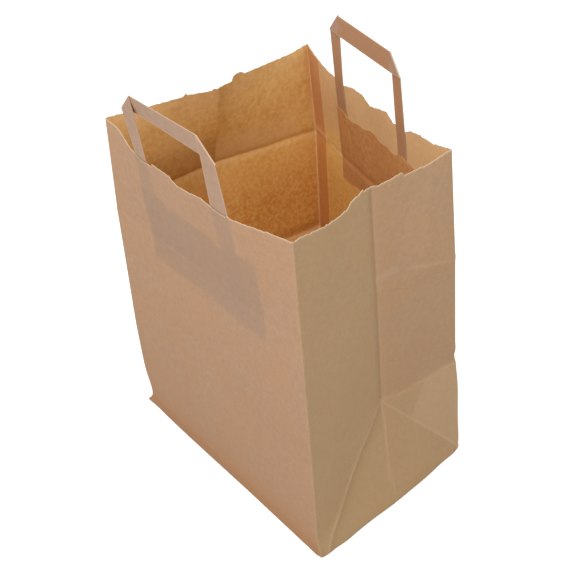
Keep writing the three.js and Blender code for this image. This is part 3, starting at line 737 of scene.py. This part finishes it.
def handle_patch(name):
    """The patch: a grid of place along the panel and height, which lies on the wall and steps up
    over each leg of the tape, closed by its edges. Its mask edge is 1 on the torn top edge, and dark
    and pale, the painted shade and highlights, are those of the wall that it lies on."""
    handle = HANDLES[name]
    start, end = patch_span(handle)
    legs = handle["middle"] + np.array([-1, 1]) * LEG_PITCH / 2
    beside = TAPE_WIDTH / 2 + CLEARANCE
    steps = [leg + side * out for leg in legs for side in (-1, 1) for out in (beside, beside + PATCH_STEP)]
    s = np.concatenate([np.linspace(start, end, 90), [place for place in steps if start < place < end]])
    s = np.unique(np.round(s, 3))
    share = np.linspace(0, 1, 44)[:, None]
    z = between(PATCH_BASE, PATCH_TOP + ripple(s, PATCH_WAVES), share)
    s = s + handle["slide"] * (PATCH_TOP - z) / PATCH_HEIGHT
    off = np.min(np.abs(s[None] - legs[:, None, None]), axis=0) - beside - PATCH_SLACK
    near = between(PATCH_OVER_LEG, LEG_NEAR, np.clip(off / PATCH_STEP, 0, 1))
    way = STARTS[handle["panel"]] + s
    points = [sheet(way, z, near + extra).reshape(-1, 3) for extra in (0, PATCH_PAPER)]
    dark, pale = inside_marks(way, z)
    edge = np.broadcast_to(ramp((1 - share) * PATCH_HEIGHT, 1.6, 0), z.shape)
    masks = {"edge": edge, "dark": dark, "pale": pale}
    masks = {key: np.tile(value.ravel(), 2) for key, value in masks.items()}
    return make_mesh(f"{name}_patch", np.concatenate(points), closed_grid(*z.shape), masks)


def linear(code):
    """An sRGB hex colour as linear red, green, blue and alpha."""
    values = [int(code[i:i + 2], 16) / 255 for i in (1, 3, 5)]
    return [v / 12.92 if v <= 0.04045 else ((v + 0.055) / 1.055) ** 2.4 for v in values] + [1.0]


def add(tree, kind, inputs=(), **settings):
    """Adds one node with its settings. Each input is a value, or the socket that it is linked to."""
    node = tree.nodes.new(kind)
    for key, value in settings.items():
        setattr(node, key, value)
    for key, value in dict(inputs).items():
        if isinstance(value, bpy.types.NodeSocket):
            tree.links.new(value, node.inputs[key])
        else:
            node.inputs[key].default_value = value
    return node


def new_material(name, roughness):
    """An empty paper material: a matt fibre surface, whose only gloss is the even sheen of fibres
    pressed flat by the mill's rolls."""
    material = bpy.data.materials.new(name)
    material.use_nodes = True
    tree = material.node_tree
    tree.nodes.clear()
    shader = add(tree, "ShaderNodeBsdfPrincipled",
                 {"Roughness": roughness, "IOR": 1.47, "Specular IOR Level": 0.25})
    add(tree, "ShaderNodeOutputMaterial", {"Surface": shader.outputs[0]})
    return material, tree, shader


def stained(tree, paper, *stains):
    """The paper's colour with stains laid over it in turn. Each is a colour, its strength where every
    place is 1, and its places: masks of the piece, by their names, or sockets of patterns."""
    for code, share, *places in stains:
        for place in places:
            if isinstance(place, str):
                place = add(tree, "ShaderNodeAttribute", attribute_name=place).outputs["Fac"]
            share = add(tree, "ShaderNodeMath", {0: place, 1: share}, operation="MULTIPLY").outputs[0]
        paper = add(tree, "ShaderNodeMix", {0: share, 6: paper, 7: linear(code)}, data_type="RGBA").outputs[2]
    return paper


def grain(tree, size_mm, detail=3.0, stretch=(1, 1, 1), low=0.35, high=0.65):
    """A cloudy noise on object coordinates, whose blots are about size_mm across, as 0 to 1."""
    place = add(tree, "ShaderNodeTexCoord").outputs["Object"]
    turned = add(tree, "ShaderNodeMapping", {"Vector": place, "Scale": stretch}).outputs[0]
    noise = add(tree, "ShaderNodeTexNoise",
                {"Vector": turned, "Scale": 1 / (size_mm * MM), "Detail": detail, "Roughness": 0.55})
    return add(tree, "ShaderNodeMapRange", {"Value": noise.outputs["Fac"], "From Min": low, "From Max": high},
               clamp=True).outputs[0]


def paper_surface(tree, shader, colour):
    """Gives the shader its colour and the relief of matted fibres about 0.8 mm across, drawn coarser
    than the real 0.03 mm so it shows."""
    tree.links.new(colour, shader.inputs["Base Color"])
    fibres = grain(tree, 0.8, detail=4.0, stretch=(1, 1, 0.45), low=0.2, high=0.8)
    bump = add(tree, "ShaderNodeBump", {"Height": fibres, "Strength": 0.35, "Distance": 0.0002})
    tree.links.new(bump.outputs[0], shader.inputs["Normal"])


def kraft_sheet_material(colours):
    """Unbleached kraft paper of the sheet: brown wood fibres with cloudy formation 3 to 5 mm wide.
    Outside it is pale and pinkish where light falls on it; inside it looks deeper and more orange,
    because light has crossed the paper, and the clouds show more."""
    material, tree, shader = new_material("unbleached_kraft_sheet", 0.82)
    clouds = grain(tree, 4.5)
    specks = grain(tree, 3.4, low=0.4, high=0.7)
    broad = grain(tree, 38, detail=2.0)
    fine = grain(tree, 0.9, detail=4.0, stretch=(1, 1, 0.5), low=0.3, high=0.7)
    outside = stained(
        tree, linear(colours.outside),
        ("#9C7A5F", 0.3, clouds), ("#BF9168", 0.35, broad), ("#8D6C52", 0.25, fine),
        # darker towards the foot, painted warm shade, and a painted greenish reflection
        ("#8E6D50", 0.42, "depth"), ("#A9764A", 0.5, "glow"), ("#A08F5C", 0.3, "green_reflection"),
        # painted shade of the patch and legs, painted shade and wear of folds, painted highlights
        ("#85756C", 0.36, "show_through_shade"), ("#6E4E30", 0.5, "dark"), ("#CDB090", 0.45, "pale"))
    inside = stained(
        tree, linear(colours.inside),
        # the third stain is painted shade and warm reflected light deeper inside the bag
        ("#D6A058", 0.75, clouds), ("#FADAA0", 0.3, broad), ("#CF8630", 0.75, "depth"),
        # lighter specks deep down, a painted greenish reflection, and the rosy top of the back
        ("#F2D080", 0.6, specks, "depth"), ("#F6DC8C", 0.28, "green_reflection"), ("#CFAF8E", 0.6, "rosy"),
        # the seam, painted light through the paper near the rim, painted shade of folds and creases
        ("#C47C4A", 0.65, "seam"), ("#F3CFA4", 0.35, "glow"), ("#8A5420", 0.5, "dark"),
        # painted highlights of the folds, creases, skirt and corner line
        ("#F8D8A6", 0.6, "pale"))
    is_inside = add(tree, "ShaderNodeAttribute", attribute_name="inside").outputs["Fac"]
    both = add(tree, "ShaderNodeMix", {0: is_inside, 6: outside, 7: inside}, data_type="RGBA").outputs[2]
    paper_surface(tree, shader, stained(tree, both, ("#D3BFA6", 0.5, "torn")))
    return material


def handle_tape_material(colours):
    """Kraft tape: the same paper folded three times and pasted flat, with paler worn edges and painted
    warm shade on the side that faces into the bag.
    """
    material, tree, shader = new_material("folded_kraft_tape", 0.8)
    paper_surface(tree, shader, stained(
        tree, linear(colours.tape),
        ("#957560", 0.3, grain(tree, 5.0)), ("#BC9D83", 0.25, grain(tree, 0.9, low=0.3, high=0.7)),
        ("#B47F52", 0.55, "inner"), ("#CDB399", 0.45, "edge"), ("#D2B79C", 0.45, "turn")))
    return material


def patch_material(colours):
    """The patch's kraft paper, pasted down, a little redder than the sheet, with the painted shade and
    highlights of the wall's folds and creases.
    """
    material, tree, shader = new_material("pasted_kraft_patch", 0.84)
    paper_surface(tree, shader, stained(
        tree, linear(colours.patch),
        ("#B07848", 0.6, grain(tree, 4.0)), ("#C58E58", 0.35, grain(tree, 25, detail=2.0)),
        ("#8C5530", 0.45, "dark"), ("#D6A06C", 0.6, "pale"), ("#CFA57C", 0.5, "edge")))
    return material


def dress(piece, material, node):
    """Gives a piece its finish and the body that it rides on, and hides the imported part that it stands for.
    """
    piece.data.materials.append(material)
    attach(piece, "root")
    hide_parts(node)


class PAPERBAG_PG_sizes(PropertyGroup):
    """How round the folds of the sheet are and how finely it is drawn."""
    fold_radius: FloatProperty(name="Fold radius", description="Radius of the folded corners, in millimetres",
                               default=1.1, min=0.2, max=4)
    column_step: FloatProperty(name="Column step", default=3.0, min=1, max=10,
                               description="Width of a facet on the broad faces, in millimetres")


class PAPERBAG_PG_colours(PropertyGroup):
    """Colours of the papers as sRGB hex codes."""
    outside: StringProperty(name="Outside", description="Outside of the sheet", default="#BD987B")
    inside: StringProperty(name="Inside", description="Inside of the sheet", default="#F1C777")
    tape: StringProperty(name="Tape", description="Tape of the handles", default="#B09079")
    patch: StringProperty(name="Patch", description="Patches over the handle legs", default="#CF9B62")
    floor: FloatVectorProperty(name="Floor", description="Colour of the floor", subtype="COLOR",
                               default=(0.75, 0.75, 0.75), min=0, max=1)


class PAPERBAG_PG_stage(PropertyGroup):
    """Where the camera stands and how strong the light is."""
    azimuth: FloatProperty(name="Azimuth", description="Turn of the camera round the bag",
                           default=math.radians(52.0), subtype="ANGLE")
    elevation: FloatProperty(name="Elevation", description="Height of the camera over the horizon",
                             default=math.radians(37.7), subtype="ANGLE")
    roll: FloatProperty(name="Roll", description="Lean of the camera", default=math.radians(-2.1),
                        subtype="ANGLE")
    focal: FloatProperty(name="Focal length", description="Lens of the camera", default=69.85, unit="CAMERA")
    ambient: FloatProperty(name="Ambient", description="Strength of the even light", default=0.8)
    key: FloatProperty(name="Key", description="Power of the main lamp", default=6.0, unit="POWER")
    top: FloatProperty(name="Top", description="Power of the lamp over the mouth", default=6.0, unit="POWER")


class PAPERBAG_OT_sheet(Operator):
    """Makes the folded sheet with its torn rim"""
    bl_idname = "paperbag.sheet"
    bl_label = "Folded Sheet"

    def execute(self, context):
        scene = context.scene
        piece = bag_sheet(scene.paperbag_sizes)
        dress(piece, kraft_sheet_material(scene.paperbag_colours), "bag_body")
        return {"FINISHED"}


class PAPERBAG_OT_handles(Operator):
    """Makes the two tape handles"""
    bl_idname = "paperbag.handles"
    bl_label = "Tape Handles"

    def execute(self, context):
        material = handle_tape_material(context.scene.paperbag_colours)
        for name in HANDLES:
            dress(handle_tape(name), material, f"{name}_handle")
        return {"FINISHED"}


class PAPERBAG_OT_patches(Operator):
    """Makes the two patches over the legs of the handles"""
    bl_idname = "paperbag.patches"
    bl_label = "Handle Patches"

    def execute(self, context):
        material = patch_material(context.scene.paperbag_colours)
        for name in HANDLES:
            dress(handle_patch(name), material, f"{name}_handle_patch")
        return {"FINISHED"}


class PAPERBAG_OT_stage(Operator):
    """Makes the floor, the lights and the camera"""
    bl_idname = "paperbag.stage"
    bl_label = "Stage"

    def execute(self, context):
        scene = context.scene
        settings = scene.paperbag_stage
        floor_and_light(scene, settings)
        place_camera(scene, settings)
        return {"FINISHED"}


WHITE = [1.0, 1.0, 1.0, 1.0]

# Where the camera stands, in metres
CAMERA_PLACE = (0.56387, -0.45265, 0.71538)


def straight_ray(tree):
    """1 for a ray from the camera, off gloss or through glass, and 0 for one that only lights."""
    seen = add(tree, "ShaderNodeLightPath").outputs
    ray = seen["Is Camera Ray"]
    for kind in ("Is Glossy Ray", "Is Transmission Ray"):
        ray = add(tree, "ShaderNodeMath", {0: ray, 1: seen[kind]}, operation="MAXIMUM").outputs[0]
    return ray


def floor_and_light(scene, settings):
    """A pale floor, an even world that the camera sees as white, a large soft lamp high on the
    camera's left and one over the bag's mouth."""
    side, base = 6.0, -0.0005
    mesh = bpy.data.meshes.new("floor")
    corners = [(-side, -side, base), (side, -side, base), (side, side, base), (-side, side, base)]
    mesh.from_pydata(corners, [], [(0, 1, 2, 3)])
    floor = bpy.data.objects.new("floor", mesh)
    scene.collection.objects.link(floor)
    material, tree, shader = new_material("pale_floor", 0.9)
    tree.nodes.remove(shader)
    ray = straight_ray(tree)
    plain = add(tree, "ShaderNodeBsdfDiffuse", {"Color": [*scene.paperbag_colours.floor, 1.0]})
    glow = add(tree, "ShaderNodeEmission", {"Color": WHITE, "Strength": 0.5})
    both = add(tree, "ShaderNodeAddShader", {0: plain.outputs[0], 1: glow.outputs[0]})
    shown = add(tree, "ShaderNodeMixShader", {0: ray, 1: plain.outputs[0], 2: both.outputs[0]})
    tree.links.new(shown.outputs[0], tree.nodes["Material Output"].inputs["Surface"])
    floor.data.materials.append(material)

    world = bpy.data.worlds.new("studio")
    world.use_nodes = True
    scene.world = world
    tree = world.node_tree
    tree.nodes.clear()
    ray = straight_ray(tree)
    light = add(tree, "ShaderNodeBackground", {"Color": WHITE, "Strength": settings.ambient})
    white = add(tree, "ShaderNodeBackground", {"Color": WHITE, "Strength": 1.0})
    shown = add(tree, "ShaderNodeMixShader", {0: ray, 1: light.outputs[0], 2: white.outputs[0]})
    add(tree, "ShaderNodeOutputWorld", {"Surface": shown.outputs[0]})

    lamps = {"key_light": (settings.key, 1.0, (0.35, -1.1, 1.1), (0, 0, 0.15)),
             "top_light": (settings.top, 0.6, (0.25, -0.25, 1.3), (-0.03, 0.03, 0.15))}
    for name, (power, size, place, aim) in lamps.items():
        lamp = bpy.data.lights.new(name, "AREA")
        lamp.size = size
        lamp.energy = power
        light = bpy.data.objects.new(name, lamp)
        light.location = place
        light.rotation_euler = (Vector(aim) - Vector(place)).to_track_quat("-Z", "Y").to_euler()
        scene.collection.objects.link(light)


def place_camera(scene, settings):
    """The camera stands where the photograph was taken: its back points along azimuth and elevation."""
    a, e = settings.azimuth, settings.elevation
    back = Vector((math.sin(a) * math.cos(e), -math.cos(a) * math.cos(e), math.sin(e)))
    right = Vector((math.cos(a), math.sin(a), 0))
    up = back.cross(right)
    turned = Matrix((right, up, back)).transposed() @ Matrix.Rotation(settings.roll, 3, "Z")
    camera_data = bpy.data.cameras.new("camera")
    camera_data.lens = settings.focal
    camera_data.clip_start = 0.01
    camera = bpy.data.objects.new("camera", camera_data)
    camera.matrix_world = Matrix.Translation(Vector(CAMERA_PLACE)) @ turned.to_4x4()
    scene.collection.objects.link(camera)
    scene.camera = camera


class PAPERBAG_PT_panel(Panel):
    """Lists the pieces of the paper bag"""
    bl_label = "Paper Bag"
    bl_idname = "PAPERBAG_PT_panel"
    bl_space_type = "VIEW_3D"
    bl_region_type = "UI"
    bl_category = "Paper Bag"

    def draw(self, context):
        layout = self.layout
        for group in GROUPS:
            settings = getattr(context.scene, group)
            box = layout.box()
            for key in settings.__annotations__:
                box.prop(settings, key)
        for operator in OPERATORS:
            layout.operator(operator.bl_idname)


GROUPS = {
    "paperbag_sizes": PAPERBAG_PG_sizes,
    "paperbag_colours": PAPERBAG_PG_colours,
    "paperbag_stage": PAPERBAG_PG_stage,
}
OPERATORS = (PAPERBAG_OT_sheet, PAPERBAG_OT_handles, PAPERBAG_OT_patches, PAPERBAG_OT_stage)


def register():
    for group in (*GROUPS.values(), *OPERATORS, PAPERBAG_PT_panel):
        bpy.utils.register_class(group)
    for key, group in GROUPS.items():
        setattr(bpy.types.Scene, key, PointerProperty(type=group))


def unregister():
    for key in GROUPS:
        delattr(bpy.types.Scene, key)
    for group in (PAPERBAG_PT_panel, *reversed(OPERATORS), *reversed(GROUPS.values())):
        bpy.utils.unregister_class(group)


def main():
    register()
    bpy.ops.paperbag.sheet()
    bpy.ops.paperbag.handles()
    bpy.ops.paperbag.patches()
    bpy.ops.paperbag.stage()
    bpy.context.scene.view_settings.view_transform = "Standard"


if __name__ == "__main__":
    main()
